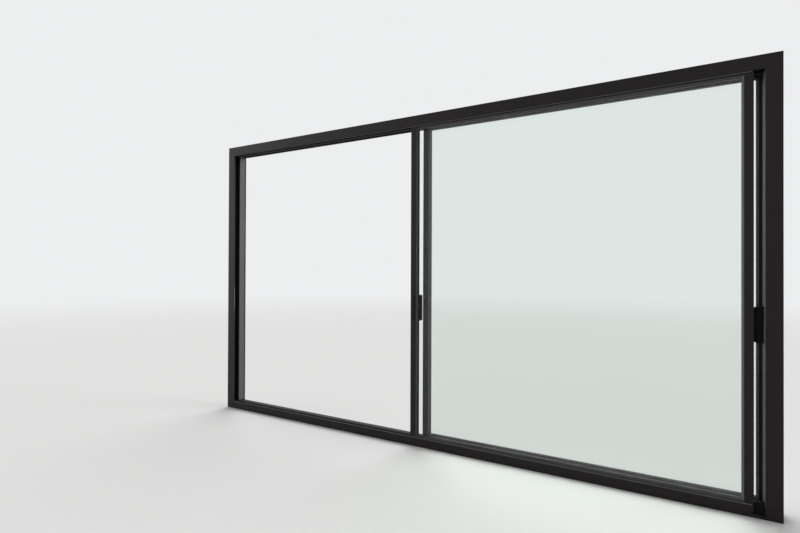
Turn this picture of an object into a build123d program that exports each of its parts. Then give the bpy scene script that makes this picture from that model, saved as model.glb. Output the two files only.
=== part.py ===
from build123d import *
import os

# Two-leaf, two-track sliding glass terrace door in powder-coated aluminium, with thermal breaks.
# Millimetres. +X runs along the door to the right as seen from the room, +Y points outdoors, +Z up.
# The origin is the middle of the sill's underside, at mid-depth of the frame.
# The room-side (inner) leaf stands open over the outdoor (outer) leaf, which is locked shut.

# Overall frame
FRAME_WIDTH = 4130.0
FRAME_HEIGHT = 2400.0
FRAME_DEPTH = 140.0
FACE = 75.0                 # face width of jambs and head
SILL_FACE = 60.0            # height of the sill's room lip
SILL_OUTER_LIP = 48.0       # height of the sill's outdoor lip
WALL = 2.0                  # wall of the extrusions
LIP = 4.0                   # thickness of the clip-on room trim, whose free edge is the lip
LIP_BEVEL = 1.5
TRIM_SEAM = 0.1             # hairline between the trim and the profile that it clips on
OUT_LIP_BEVEL = 1.5
BASE = 36.0                 # depth of the hollow base behind the channels
SILL_BASE = 12.0            # height of the hollow base under the sill's channels
OUTER_LIP_DEPTH = 16.0      # depth of the hollow outdoor lip
BREAK_ROOM_Y = -20.0        # the thermal break runs between these two planes
BREAK_OUT_Y = 8.0
BREAK_BAR = 2.5             # thickness of a polyamide bar
BREAK_INSET = 4.0           # how far the outer bar lies inside the outer wall
FIN = 4.0                   # centre fin between the two channels
FIN_Y = -6.0

# Leaves
LEAF_WIDTH = 2060.0
LEAF_THICK = 44.0
LEAF_BOTTOM = 27.0
LEAF_TOP_GAP = 9.0          # from the leaf's top to the ceiling of the head's channel
INNER_Y = -39.0             # middle plane of the room-side leaf
TRACK_PITCH = 66.0
BOX = 42.0                  # flat face of stiles and rails
BEAD = 12.0                 # glazing bead beside the flat face
OUT_LIP = 8.0               # glazing lip on the outdoor side
OUT_LIP_THICK = 3.0
SHELL = 14.0                # depth of each aluminium half of a stile or rail
LEAF_BAR = 2.0              # thickness of the leaf's polyamide bars
JAMB_BITE = 20.0            # how far a shut leaf reaches into its jamb
OPEN_GAP = 48.0             # from the open leaf's edge to the right jamb's face
CLEAR = 5.0                 # room that moving pieces keep
SEAT = 0.3                  # hairline between pieces that slide or roll on each other
EDGE_BEVEL = 0.8            # eased edges of stiles and rails

# Glazing
PANE = 6.0
CAVITY = 12.0
GASKET = 3.0
GLASS_EDGE = 2.0            # from the rebate's floor to the pane's edge
SPACER = 7.0
BEAD_STEP = 2.0             # the bead starts this far behind the flat face
BEAD_NOSE = 2.0
BEAD_WALL = 1.5
BLOCK_LENGTH = 100.0
SPACER_SET = 2.0            # from the pane's edge to the spacer bar
BAR_SET = 3.0               # from the leaf's edge to its outer polyamide bar
ROLLER_ROOM = 7.0           # hollow left above the bottom rail's lower polyamide bar

# Track, rollers and stops
RAIL_TOP = 26.0
RAIL_WIDTH = 6.0
RAIL_CAP = 4.0              # height of the stainless cap above its ridge
RAIL_SKIRT = 5.0            # the cap's straight sides
RIDGE = 3.0
WHEEL_TREAD_R = 15.0
WHEEL_FLANGE_R = 18.0
WHEEL_WIDTH = 11.0
TREAD_AIR = 0.5             # from the rail's side to the groove's side
AXLE_R = 3.0
AXLE_FIT = 0.05
CARRIAGE_LENGTH = 150.0
CARRIAGE_PLATE = 1.5
CARRIAGE_WIDTH = 15.0
CARRIAGE_INSET = 180.0      # from the leaf's edge to the middle of a carriage
CARRIAGE_DROP = 10.0        # how far its cheeks reach below the axles
WHEEL_BASE = 90.0
GUARD_LENGTH = 60.0
GUARD_INSET = 4.0
GUARD_CORNER = 4.0
GUARD_AIR = 1.5
BUFFER_HEIGHT = 20.0
BUFFER_WIDTH = 24.0
FOOT_STOP_TOP = 80.0
LIFT_GAP_BITE = 7.0         # how far the gap in the sill's room lip reaches past the open leaf

# Brush seals
BRUSH = 9.0
BRUSH_PROUD = 5.0           # how far the room and centre strips stand past the lips
BRUSH_SET = 2.0             # how far the others stay behind them

# Interlock tongues in the gap between the leaves
HOOK = 2.0
HOOK_FLANGE = 1.5
HOOK_SET = 39.0             # from the leaf's meeting edge to the tongue's stem
HOOK_REACH = 12.0
HOOK_AIR = 6.0              # from a tongue to the other leaf
HOOK_END_AIR = 7.0          # from a tongue's ends to the centre brushes

# Pulls
PULL_HEIGHT = 190.0
PULL_MIDDLE_Z = 998.0
PULL_BRIDGE = 12.0
PULL_PLATE = 4.0
PULL_STAND = 45.0           # how far a pull stands off its leaf
OUT_GRIP_WIDTH = 16.0
OUT_GRIP_DEPTH = 12.0
ROOM_GRIP_WIDTH = 36.0
ROOM_GRIP_DEPTH = 10.0
GRIP_BEVEL = 2.0
OUT_FOOT_SET = 9.0          # from the jamb's face to the outdoor pull's foot
OUT_FOOT_WIDTH = 12.0
ROOM_FOOT_SET = 4.0         # from the jamb's face to the room-side pull's foot
ROOM_FOOT_WIDTH = 17.0
ROOM_BRIDGE_WIDTH = 7.0     # its bridges keep clear of the jamb cover
FLUSH_WIDTH = 16.0
FLUSH_SET = 2.0             # from the jamb's face to the flush pull
FLUSH_RIM = 2.0
FLUSH_WALL = 1.2
FLUSH_CUP_DEPTH = 9.0
FLUSH_PLATE = 1.5

# Locks
KEEPER = 3.0
KEEPER_HEIGHT = 220.0
KEEPER_WIDTH = 20.0
KEEPER_SLOT = (36.0, 8.0)
FACEPLATE_HEIGHT = 240.0
FACEPLATE_THICK = 2.5
FACEPLATE_SLOT = (30.0, 6.0)
LATCH_OFFSET = 40.0         # of both lock slots from the pull's middle
SCREW_OFFSET = 105.0
SCREW_HOLE_R = 2.2

# Jamb covers
COVER_FACE = 2.0
COVER_TURN = 7.0            # the right cover's deep end turns inwards by this much
COVER_TURN_DEPTH = 18.0

# Fixings
FIX_HOLE_R = 4.0
FIX_JAMB_COUNT = 3
FIX_HEAD_COUNT = 4
FIX_FOOT_Z = 200.0
FIX_TOP_INSET = 250.0
FIX_END_INSET = 415.0
DRAIN_COUNT = 5
DRAIN_END_INSET = 465.0
DRAIN_SLOT = (30.0, 6.0)
DRAIN_RISE = 6.0            # from the channel's floor to the slot's middle
HOOD = (44.0, 16.0, 5.0)
HOOD_MOUTH = (36.0, 9.0, 3.5)
HOOD_MOUTH_DROP = 3.0
HOOD_TAPER = 20.0

# Places worked out from the sizes
half_w = FRAME_WIDTH / 2
half_d = FRAME_DEPTH / 2
clear_x = half_w - FACE
head_z = FRAME_HEIGHT - FACE
ceiling_z = FRAME_HEIGHT - BASE
leaf_top = ceiling_z - LEAF_TOP_GAP
outer_y = INNER_Y + TRACK_PITCH
half_t = LEAF_THICK / 2
inner_open_x = clear_x - OPEN_GAP - LEAF_WIDTH      # left edge of the open inner leaf
inner_shut_x = -clear_x - JAMB_BITE
outer_x = clear_x + JAMB_BITE - LEAF_WIDTH          # left edge of the shut outer leaf
travel = inner_open_x - inner_shut_x
fin_room = FIN_Y - FIN / 2
fin_out = FIN_Y + FIN / 2
out_lip_y = half_d - OUTER_LIP_DEPTH
axle_z = RAIL_TOP + SEAT + WHEEL_TREAD_R
pull_low = PULL_MIDDLE_Z - PULL_HEIGHT / 2
pull_high = PULL_MIDDLE_Z + PULL_HEIGHT / 2
flush_cup = (PULL_HEIGHT - 2 * FLUSH_RIM, FLUSH_WIDTH - 2 * FLUSH_RIM)
open_edge = inner_open_x + LEAF_WIDTH               # right edge of the open inner leaf
lift_gap_x = open_edge - LIFT_GAP_BITE


def spread(low, high, count):
    """Evenly spaced places from low to high."""
    return [low + (high - low) * i / (count - 1) for i in range(count)]


fix_z = spread(FIX_FOOT_Z, FRAME_HEIGHT - FIX_TOP_INSET, FIX_JAMB_COUNT)
fix_x = spread(-half_w + FIX_END_INSET, half_w - FIX_END_INSET, FIX_HEAD_COUNT)
drain_x = spread(-half_w + DRAIN_END_INSET, half_w - DRAIN_END_INSET, DRAIN_COUNT)


def write(part, name):
    """Label a finished piece and write its file."""
    part.label = name
    export_step(part, f"parts/{name}.step")


def block(x0, x1, y0, y1, z0, z1):
    """Add an upright block between two corners to the open part."""
    with Locations(((x0 + x1) / 2, (y0 + y1) / 2, (z0 + z1) / 2)):
        Box(x1 - x0, y1 - y0, z1 - z0)


def profile(outline, chambers):
    """Draw a profile in the open sketch: its outline, less its hollow chambers."""
    Polygon(*outline, align=None)
    for chamber in chambers:
        Polygon(*chamber, align=None, mode=Mode.SUBTRACT)


def rectangle(a0, a1, b0, b1):
    """Corners of a rectangle, for an outline or a chamber."""
    return [(a0, b0), (a1, b0), (a1, b1), (a0, b1)]


def eased(a0, a1, root, face, bevel):
    """Corners of a rectangle from root to face whose two corners on the face are bevelled."""
    shoulder = face - bevel if face > root else face + bevel
    return [
        (a0, root),
        (a1, root),
        (a1, shoulder),
        (a1 - bevel, face),
        (a0 + bevel, face),
        (a0, shoulder),
    ]


# The frame profile, as (h, y): h runs from the outer edge of the frame inwards
TRIM_OUTLINE = [
    (0, -half_d),
    (FACE - LIP_BEVEL, -half_d),
    (FACE, -half_d + LIP_BEVEL),
    (FACE, -half_d + LIP),
    (0, -half_d + LIP),
]
base_y = -half_d + LIP + TRIM_SEAM
ROOM_OUTLINE = rectangle(0, BASE, base_y, BREAK_ROOM_Y)
rib_y = (base_y + BREAK_ROOM_Y) / 2
ROOM_CHAMBERS = [
    rectangle(WALL, BASE - WALL, base_y + WALL, rib_y - WALL / 2),
    rectangle(WALL, BASE - WALL, rib_y + WALL / 2, BREAK_ROOM_Y - WALL),
]
OUT_OUTLINE = [
    (0, BREAK_OUT_Y),
    (BASE, BREAK_OUT_Y),
    (BASE, out_lip_y),
    (FACE, out_lip_y),
    (FACE, half_d - OUT_LIP_BEVEL),
    (FACE - OUT_LIP_BEVEL, half_d),
    (0, half_d),
]
OUT_CHAMBERS = [
    rectangle(WALL, BASE - WALL, BREAK_OUT_Y + WALL, out_lip_y),
    rectangle(WALL, FACE - WALL, out_lip_y + WALL, half_d - WALL),
]


def placed(points, place):
    """Map (h, y) points of the frame profile into a sketch."""
    return [place(h, y) for h, y in points]


def frame_member(plane, place, length, mitres, holes):
    """Extrude a frame member's trim and two halves, mitre its ends and drill its fixing holes."""
    sections = ((TRIM_OUTLINE, []), (ROOM_OUTLINE, ROOM_CHAMBERS), (OUT_OUTLINE, OUT_CHAMBERS))
    with BuildPart() as member:
        for outline, chambers in sections:
            with BuildSketch(plane):
                profile(placed(outline, place), [placed(c, place) for c in chambers])
            extrude(amount=length)
        for mitre in mitres:
            split(bisect_by=mitre, keep=Keep.TOP)
        for hole_plane in holes:
            with BuildSketch(hole_plane):
                Circle(FIX_HOLE_R)
            extrude(amount=BASE, mode=Mode.SUBTRACT)
    return member.part


def head_place(h, y):
    return (y, FRAME_HEIGHT - h)


def left_place(h, y):
    return (-half_w + h, y)


def right_place(h, y):
    return (half_w - h, y)


# The mitre planes run at 45 degrees through the frame's two upper corners
LEFT_CORNER = (-half_w, 0, FRAME_HEIGHT)
RIGHT_CORNER = (half_w, 0, FRAME_HEIGHT)

os.makedirs("parts", exist_ok=True)

# Frame: head, jambs and sill
frame_head = frame_member(
    Plane.YZ.offset(-half_w),
    head_place,
    FRAME_WIDTH,
    [Plane(LEFT_CORNER, z_dir=(1, 0, 1)), Plane(RIGHT_CORNER, z_dir=(-1, 0, 1))],
    [Plane((x, INNER_Y, FRAME_HEIGHT), z_dir=(0, 0, -1)) for x in fix_x],
)
write(frame_head, "frame_head")

frame_jamb_left = frame_member(
    Plane.XY,
    left_place,
    FRAME_HEIGHT,
    [Plane(LEFT_CORNER, z_dir=(-1, 0, -1))],
    [Plane((-half_w, INNER_Y, z), z_dir=(1, 0, 0)) for z in fix_z],
)
write(frame_jamb_left, "frame_jamb_left")

frame_jamb_right = frame_member(
    Plane.XY,
    right_place,
    FRAME_HEIGHT,
    [Plane(RIGHT_CORNER, z_dir=(1, 0, -1))],
    [Plane((half_w, INNER_Y, z), z_dir=(-1, 0, 0)) for z in fix_z],
)
write(frame_jamb_right, "frame_jamb_right")

sill_end = half_w - BASE    # the sill's floor runs into the jambs' channels
ridge_z = RAIL_TOP - RAIL_CAP


def outdoor_plane(x, z):
    """Plane on the frame's outdoor face, looking outdoors."""
    return Plane((x, half_d, z), x_dir=(-1, 0, 0), z_dir=(0, 1, 0))


with BuildPart() as frame_sill:
    with BuildSketch(Plane.YZ.offset(-sill_end)):
        profile(
            [
                (-half_d, 0),
                (-half_d + LIP, 0),
                (-half_d + LIP, SILL_FACE),
                (-half_d + LIP_BEVEL, SILL_FACE),
                (-half_d, SILL_FACE - LIP_BEVEL),
            ],
            [],
        )
    extrude(amount=2 * sill_end)
    with BuildSketch(Plane.YZ.offset(-sill_end)):
        profile(
            [
                (base_y, 0),
                (BREAK_ROOM_Y, 0),
                (BREAK_ROOM_Y, SILL_BASE),
                (INNER_Y + RIDGE / 2, SILL_BASE),
                (INNER_Y + RIDGE / 2, ridge_z),
                (INNER_Y - RIDGE / 2, ridge_z),
                (INNER_Y - RIDGE / 2, SILL_BASE),
                (base_y, SILL_BASE),
            ],
            [rectangle(base_y + WALL, BREAK_ROOM_Y - WALL, WALL, SILL_BASE - WALL)],
        )
    extrude(amount=2 * sill_end)
    with BuildSketch(Plane.YZ.offset(-sill_end)):
        profile(
            [
                (BREAK_OUT_Y, 0),
                (half_d, 0),
                (half_d, SILL_OUTER_LIP - OUT_LIP_BEVEL),
                (half_d - OUT_LIP_BEVEL, SILL_OUTER_LIP),
                (out_lip_y, SILL_OUTER_LIP),
                (out_lip_y, SILL_BASE),
                (outer_y + RIDGE / 2, SILL_BASE),
                (outer_y + RIDGE / 2, ridge_z),
                (outer_y - RIDGE / 2, ridge_z),
                (outer_y - RIDGE / 2, SILL_BASE),
                (BREAK_OUT_Y, SILL_BASE),
            ],
            [
                rectangle(BREAK_OUT_Y + WALL, out_lip_y, WALL, SILL_BASE - WALL),
                rectangle(out_lip_y + WALL, half_d - WALL, WALL, SILL_OUTER_LIP - WALL),
            ],
        )
    extrude(amount=2 * sill_end)
    # notches round the jambs' lips
    for side in (-1, 1):
        middle = side * (clear_x + sill_end) / 2
        with BuildSketch(Plane.XY):
            with Locations((middle, -half_d + LIP / 2)):
                Rectangle(sill_end - clear_x, LIP)
            with Locations((middle, half_d - OUTER_LIP_DEPTH / 2)):
                Rectangle(sill_end - clear_x, OUTER_LIP_DEPTH)
        extrude(amount=SILL_FACE, mode=Mode.SUBTRACT)
    # the room lip stops short of the right jamb, where the inner leaf is lifted in
    with BuildSketch(Plane.XY.offset(SILL_BASE)):
        with Locations(((lift_gap_x + clear_x) / 2, -half_d + LIP / 2)):
            Rectangle(clear_x - lift_gap_x, LIP)
    extrude(amount=SILL_FACE, mode=Mode.SUBTRACT)
    # drain slots through the outdoor lip's two walls
    for x in drain_x:
        with BuildSketch(outdoor_plane(x, SILL_BASE + DRAIN_RISE)):
            Rectangle(*DRAIN_SLOT)
        extrude(amount=-OUTER_LIP_DEPTH, mode=Mode.SUBTRACT)
write(frame_sill.part, "frame_sill")

# Polyamide bars of the frame's thermal break, in pairs across each member
with BuildPart() as frame_thermal_bars:
    for h0 in (BREAK_INSET, BASE - BREAK_BAR):
        h1 = h0 + BREAK_BAR
        head_half = half_w - h1 - SEAT
        block(-head_half, head_half, BREAK_ROOM_Y, BREAK_OUT_Y, FRAME_HEIGHT - h1, FRAME_HEIGHT - h0)
        block(-half_w + h0, -half_w + h1, BREAK_ROOM_Y, BREAK_OUT_Y, 0, FRAME_HEIGHT - h0)
        block(half_w - h1, half_w - h0, BREAK_ROOM_Y, BREAK_OUT_Y, 0, FRAME_HEIGHT - h0)
    for z0 in (0, SILL_BASE - BREAK_BAR):
        block(-sill_end + SEAT, sill_end - SEAT, BREAK_ROOM_Y, BREAK_OUT_Y, z0, z0 + BREAK_BAR)
write(frame_thermal_bars.part, "frame_thermal_bars")

# Centre fins part the two channels in head, sill and jambs
with BuildPart() as frame_centre_fins:
    block(-clear_x + SEAT, clear_x - SEAT, fin_room, fin_out, head_z, ceiling_z)
    block(-clear_x + SEAT, clear_x - SEAT, fin_room, fin_out, SILL_BASE, SILL_FACE)
    for x0, x1 in ((-half_w + BASE, -clear_x), (clear_x, half_w - BASE)):
        block(x0, x1, fin_room, fin_out, SILL_BASE, ceiling_z)
write(frame_centre_fins.part, "frame_centre_fins")

# Brush strips: each fills the gap beside a leaf, less a hairline
head_brush = (head_z - BRUSH_PROUD, head_z - BRUSH_PROUD + BRUSH)
sill_brush = (SILL_FACE + BRUSH_PROUD - BRUSH, SILL_FACE + BRUSH_PROUD)
leaf_faces = {
    "inner": (INNER_Y - half_t, INNER_Y + half_t),
    "outer": (outer_y - half_t, outer_y + half_t),
}
with BuildPart() as seal_brushes_room:
    y0, y1 = -half_d + LIP, leaf_faces["inner"][0] - SEAT
    block(-clear_x, lift_gap_x, y0, y1, *head_brush)
    block(-clear_x, lift_gap_x, y0, y1, *sill_brush)
    block(-clear_x - BRUSH_SET - BRUSH, -clear_x - BRUSH_SET, y0, y1, SILL_FACE, head_z)
write(seal_brushes_room.part, "seal_brushes_room")

with BuildPart() as seal_brushes_outdoor:
    y0, y1 = leaf_faces["outer"][1] + SEAT, out_lip_y
    block(-clear_x, clear_x, y0, y1, head_z + BRUSH_SET, head_z + BRUSH_SET + BRUSH)
    sill_top = SILL_OUTER_LIP - BRUSH_SET
    block(-clear_x, clear_x, y0, y1, sill_top - BRUSH, sill_top)
    block(clear_x + BRUSH_SET, clear_x + BRUSH_SET + BRUSH, y0, y1, SILL_FACE, head_z)
write(seal_brushes_outdoor.part, "seal_brushes_outdoor")

with BuildPart() as seal_brushes_centre:
    for heights in (head_brush, sill_brush):
        block(-clear_x, lift_gap_x, leaf_faces["inner"][1] + SEAT, fin_room, *heights)
        block(-clear_x, clear_x, fin_out, leaf_faces["outer"][0] - SEAT, *heights)
write(seal_brushes_centre.part, "seal_brushes_centre")

# Clip-in covers close the jamb channels that no leaf enters
with BuildPart() as jamb_cover_left:
    y0, y1 = fin_out + SEAT, out_lip_y - SEAT
    with BuildSketch(Plane.XY.offset(SILL_FACE + SEAT)):
        profile(
            rectangle(-half_w + BASE, -clear_x, y0, y1),
            [rectangle(-half_w + BASE, -clear_x - COVER_FACE, y0 + COVER_FACE, y1 - COVER_FACE)],
        )
    extrude(amount=head_z - SILL_FACE - 2 * SEAT)
write(jamb_cover_left.part, "jamb_cover_left")

with BuildPart() as jamb_cover_right:
    y0, y1 = -half_d + LIP + SEAT, fin_room - SEAT
    turn_y = y1 - COVER_TURN_DEPTH
    cover_edge_x = clear_x - COVER_TURN
    inside_x = clear_x + COVER_FACE
    with BuildSketch(Plane.XY.offset(SILL_FACE + SEAT)):
        profile(
            [
                (half_w - BASE, y0),
                (clear_x, y0),
                (clear_x, turn_y),
                (cover_edge_x, y1),
                (half_w - BASE, y1),
            ],
            [
                [
                    (half_w - BASE, y0 + COVER_FACE),
                    (inside_x, y0 + COVER_FACE),
                    (inside_x, turn_y),
                    (cover_edge_x + COVER_FACE, y1 - COVER_FACE),
                    (half_w - BASE, y1 - COVER_FACE),
                ]
            ],
        )
    extrude(amount=head_z - SILL_FACE - 2 * SEAT)
write(jamb_cover_right.part, "jamb_cover_right")


def track_rail(y, name):
    """Stainless cap clipped over an aluminium ridge of the sill."""
    with BuildPart() as rail:
        with BuildSketch(Plane.YZ.offset(-clear_x)):
            with Locations((y, RAIL_TOP - RAIL_WIDTH / 2)):
                Circle(RAIL_WIDTH / 2)
            with Locations((y, RAIL_TOP - (RAIL_WIDTH + RAIL_SKIRT) / 2)):
                Rectangle(RAIL_WIDTH, RAIL_SKIRT)
            with Locations((y, ridge_z - RAIL_WIDTH / 2)):
                Rectangle(RIDGE, RAIL_WIDTH, mode=Mode.SUBTRACT)
        extrude(amount=2 * clear_x)
    write(rail.part, name)


track_rail(INNER_Y, "track_rail_inner")
track_rail(outer_y, "track_rail_outer")

# Rubber buffers stop the inner leaf: one in the head's channel at each end of its travel, and one
# astride the track where it stands open
with BuildPart() as stop_buffers:
    y0, y1 = INNER_Y - BUFFER_WIDTH / 2, INNER_Y + BUFFER_WIDTH / 2
    z0, z1 = leaf_top - BUFFER_HEIGHT, ceiling_z
    block(open_edge + SEAT, open_edge + OPEN_GAP, y0, y1, z0, z1)
    block(-half_w + BASE, inner_shut_x - SEAT, y0, y1, z0, z1)
    slot_half = RAIL_WIDTH / 2 + SEAT
    with BuildSketch(Plane.YZ.offset(open_edge + SEAT)):
        profile(
            rectangle(y0, y1, SILL_BASE, FOOT_STOP_TOP),
            [rectangle(INNER_Y - slot_half, INNER_Y + slot_half, SILL_BASE, RAIL_TOP + SEAT)],
        )
    extrude(amount=OPEN_GAP - 2 * SEAT)
write(stop_buffers.part, "stop_buffers")

# Strike plates in the two jamb channels that a leaf shuts into
with BuildPart() as lock_keepers:
    for x, y, out in ((-half_w + BASE, INNER_Y, 1), (half_w - BASE, outer_y, -1)):
        with BuildSketch(Plane((x, y, PULL_MIDDLE_Z), x_dir=(0, 0, 1), z_dir=(out, 0, 0))):
            SlotOverall(KEEPER_HEIGHT, KEEPER_WIDTH)
            with Locations((-LATCH_OFFSET, 0), (LATCH_OFFSET, 0)):
                Rectangle(*KEEPER_SLOT, mode=Mode.SUBTRACT)
        extrude(amount=KEEPER)
write(lock_keepers.part, "lock_keepers")

# Hoods over the drain slots on the outdoor face of the sill
with BuildPart() as drain_hoods:
    for x in drain_x:
        with BuildSketch(outdoor_plane(x, SILL_BASE + DRAIN_RISE)):
            Rectangle(HOOD[0], HOOD[1])
        extrude(amount=HOOD[2], taper=HOOD_TAPER)
        with BuildSketch(outdoor_plane(x, SILL_BASE + DRAIN_RISE - HOOD_MOUTH_DROP)):
            Rectangle(HOOD_MOUTH[0], HOOD_MOUTH[1])
        extrude(amount=HOOD_MOUTH[2], mode=Mode.SUBTRACT)
write(drain_hoods.part, "drain_hoods")


class Leaf:
    """Places of one leaf: its left edge, its middle plane, its lock's edge and its far face.

    The far face is the one that looks away from the other leaf: -1 is the room's, 1 outdoors'.
    """

    def __init__(self, name, x, y, lock_side, far):
        self.name = name
        self.x0 = x
        self.x1 = x + LEAF_WIDTH
        self.y = y
        self.lock_side = lock_side
        self.far = far

    def edge(self, side):
        """X of the leaf's left (-1) or right (1) edge."""
        return self.x0 if side < 0 else self.x1

    def flush_plane(self):
        """Plane on the far face, in the middle of the flush pull."""
        x = self.edge(self.lock_side) - self.lock_side * (JAMB_BITE + FLUSH_SET + FLUSH_WIDTH / 2)
        face = self.y + self.far * LEAF_THICK / 2
        return Plane((x, face, PULL_MIDDLE_Z), x_dir=(0, 0, 1), z_dir=(0, self.far, 0))


inner = Leaf("leaf_inner", inner_open_x, INNER_Y, -1, -1)
outer = Leaf("leaf_outer", outer_x, outer_y, 1, 1)
rebate = BOX + GLASS_EDGE   # from the leaf's edge to the pane's edge

# Depths in a leaf, measured from its middle plane towards outdoors
lip_v = half_t - OUT_LIP_THICK
glass_out_v = lip_v - GASKET
pane_out_v = glass_out_v - PANE
pane_room_v = pane_out_v - CAVITY
glass_room_v = pane_room_v - PANE
gasket_room_v = glass_room_v - GASKET
bead_v = -half_t + BEAD_STEP
nose_v = gasket_room_v - BEAD_NOSE


def upright(leaf, side, u, v):
    """Plan point of a stile: u from the leaf's edge inwards, v from its middle plane outdoors."""
    return (leaf.edge(side) - side * u, leaf.y + v)


def stile(leaf, side, name):
    """Both aluminium halves of a stile; the meeting stile carries an interlock tongue."""
    height = leaf_top - LEAF_BOTTOM
    with BuildPart() as made:
        for out in (-1, 1):
            root, face = out * (half_t - SHELL), out * half_t
            section = eased(0, BOX, root, face, EDGE_BEVEL)
            outline = [upright(leaf, side, u, v) for u, v in section]
            chamber = rectangle(WALL, BOX - WALL, root + out * WALL, face - out * WALL)
            with BuildSketch(Plane.XY.offset(LEAF_BOTTOM)):
                profile(outline, [[upright(leaf, side, u, v) for u, v in chamber]])
            extrude(amount=height)
        lip = [upright(leaf, side, u, v) for u, v in rectangle(BOX, BOX + OUT_LIP, lip_v, half_t)]
        with BuildSketch(Plane.XY.offset(LEAF_BOTTOM + BOX)):
            profile(lip, [])
        extrude(amount=height - 2 * BOX)
        if side == leaf.lock_side:
            with BuildSketch(leaf.flush_plane()):
                SlotOverall(flush_cup[0] + 2 * SEAT, flush_cup[1] + 2 * SEAT)
            extrude(amount=-WALL, mode=Mode.SUBTRACT)
        else:
            away = -leaf.far
            face_v = away * half_t
            gap = TRACK_PITCH - LEAF_THICK
            tip_v = face_v + away * (gap - HOOK_AIR)
            under_v = tip_v - away * HOOK_FLANGE
            tongue = [
                (HOOK_SET, face_v),
                (HOOK_SET, tip_v),
                (HOOK_SET + HOOK_REACH, tip_v),
                (HOOK_SET + HOOK_REACH, under_v),
                (HOOK_SET + HOOK, under_v),
                (HOOK_SET + HOOK, face_v),
            ]
            low, high = sill_brush[1] + HOOK_END_AIR, head_brush[0] - HOOK_END_AIR
            with BuildSketch(Plane.XY.offset(low)):
                profile([upright(leaf, side, u, v) for u, v in tongue], [])
            extrude(amount=high - low)
    write(made.part, name)


def level(z_edge, up, y, u, v):
    """Section point of a rail in (Y, Z): u from the leaf's edge inwards, v outdoors."""
    return (y + v, z_edge + up * u)


def rail(leaf, z_edge, up, name):
    """Both aluminium halves of a rail, between the stiles."""
    with BuildPart() as made:
        for out in (-1, 1):
            root, face = out * (half_t - SHELL), out * half_t
            section = eased(0, BOX, root, face, EDGE_BEVEL)
            outline = [level(z_edge, up, leaf.y, u, v) for u, v in section]
            chamber = rectangle(WALL, BOX - WALL, root + out * WALL, face - out * WALL)
            with BuildSketch(Plane.YZ.offset(leaf.x0 + BOX)):
                profile(outline, [[level(z_edge, up, leaf.y, u, v) for u, v in chamber]])
            extrude(amount=LEAF_WIDTH - 2 * BOX)
        lip = [level(z_edge, up, leaf.y, u, v) for u, v in rectangle(BOX, BOX + OUT_LIP, lip_v, half_t)]
        with BuildSketch(Plane.YZ.offset(leaf.x0 + BOX + OUT_LIP)):
            profile(lip, [])
        extrude(amount=LEAF_WIDTH - 2 * (BOX + OUT_LIP))
    write(made.part, name)


def around(leaf, inset, width, v0, v1):
    """Four bars round the glass: two uprights and two level bars with hairline joints between."""
    x0, x1 = leaf.x0 + inset, leaf.x1 - inset
    z0, z1 = LEAF_BOTTOM + inset, leaf_top - inset
    y0, y1 = leaf.y + v0, leaf.y + v1
    block(x0, x0 + width, y0, y1, z0, z1)
    block(x1 - width, x1, y0, y1, z0, z1)
    for z in (z0, z1 - width):
        block(x0 + width + SEAT, x1 - width - SEAT, y0, y1, z, z + width)


def glazing(leaf):
    """Panes, spacer bars, gaskets, setting blocks and glazing beads of one leaf."""
    glass_x = (leaf.x0 + rebate, leaf.x1 - rebate)
    glass_z = (LEAF_BOTTOM + rebate, leaf_top - rebate)
    for name, v0 in (("glass_room", glass_room_v), ("glass_outdoor", pane_out_v)):
        with BuildPart() as pane:
            block(*glass_x, leaf.y + v0, leaf.y + v0 + PANE, *glass_z)
        write(pane.part, f"{leaf.name}_{name}")
    with BuildPart() as spacer:
        around(leaf, rebate + SPACER_SET, SPACER, pane_room_v, pane_out_v)
    write(spacer.part, f"{leaf.name}_spacer_bars")
    with BuildPart() as gaskets:
        around(leaf, rebate, BOX + OUT_LIP - rebate, glass_out_v, lip_v)
        around(leaf, rebate, BOX + BEAD - rebate, gasket_room_v, glass_room_v)
    write(gaskets.part, f"{leaf.name}_gaskets")
    with BuildPart() as blocks:
        for x in (glass_x[0] + 2 * BLOCK_LENGTH, glass_x[1] - 3 * BLOCK_LENGTH):
            block(
                x,
                x + BLOCK_LENGTH,
                leaf.y + glass_room_v,
                leaf.y + glass_out_v,
                LEAF_BOTTOM + BOX,
                LEAF_BOTTOM + rebate,
            )
    write(blocks.part, f"{leaf.name}_setting_blocks")

    section = [
        (BOX, bead_v),
        (BOX + BEAD_NOSE, bead_v),
        (BOX + BEAD, nose_v),
        (BOX + BEAD, gasket_room_v),
        (BOX, gasket_room_v),
    ]
    with BuildPart() as beads:
        low, high = LEAF_BOTTOM + BOX, leaf_top - BOX
        for side in (-1, 1):
            with BuildSketch(Plane.XY.offset(low)):
                profile([upright(leaf, side, u, v) for u, v in section], [])
                offset(amount=-BEAD_WALL, kind=Kind.INTERSECTION, mode=Mode.SUBTRACT)
            extrude(amount=high - low)
        inset = BOX + BEAD + SEAT
        for z_edge, up in ((LEAF_BOTTOM, 1), (leaf_top, -1)):
            with BuildSketch(Plane.YZ.offset(leaf.x0 + inset)):
                profile([level(z_edge, up, leaf.y, u, v) for u, v in section], [])
                offset(amount=-BEAD_WALL, kind=Kind.INTERSECTION, mode=Mode.SUBTRACT)
            extrude(amount=LEAF_WIDTH - 2 * inset)
    write(beads.part, f"{leaf.name}_glazing_beads")


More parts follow.
